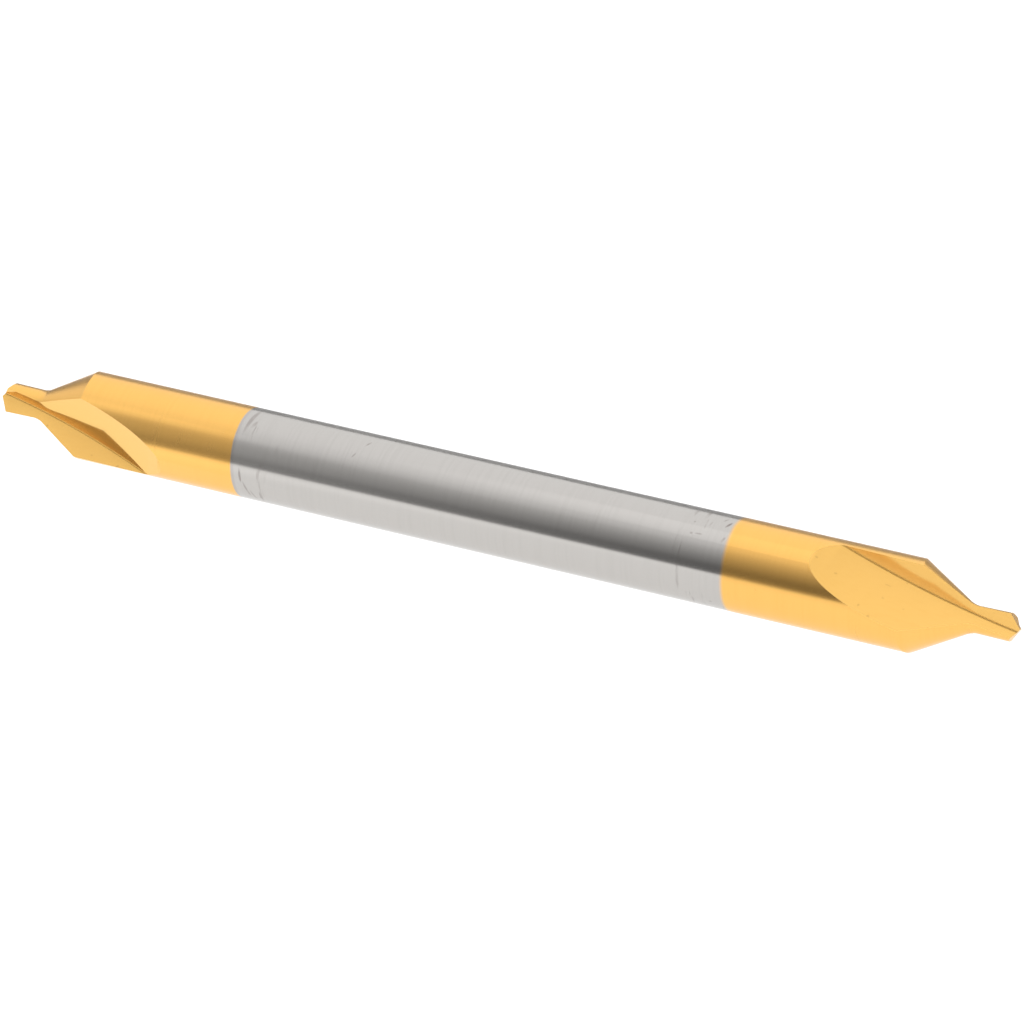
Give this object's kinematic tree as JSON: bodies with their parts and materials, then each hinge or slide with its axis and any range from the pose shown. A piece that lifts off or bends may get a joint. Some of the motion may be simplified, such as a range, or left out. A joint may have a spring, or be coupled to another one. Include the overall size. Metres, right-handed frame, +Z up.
{
  "type": "centre drill",
  "caption": "Double-ended centre drill: a ground round shank with a gold-coated pilot drill and 60-degree countersink at each end, for drilling centre holes in a lathe.",
  "frame": {"origin": "middle of the tool, on its axis", "axes": "+X along the tool's axis, towards the right-hand point; +Z up as pictured"},
  "size_m": [0.0382, 0.0032, 0.0032],
  "materials": {
    "coated_steel": "bright ground high-speed steel, with a gold titanium nitride coating over the last 10 mm of each end"
  },
  "bodies": {
    "root": {"centre_drill": "coated_steel"}
  },
  "joints": []
}
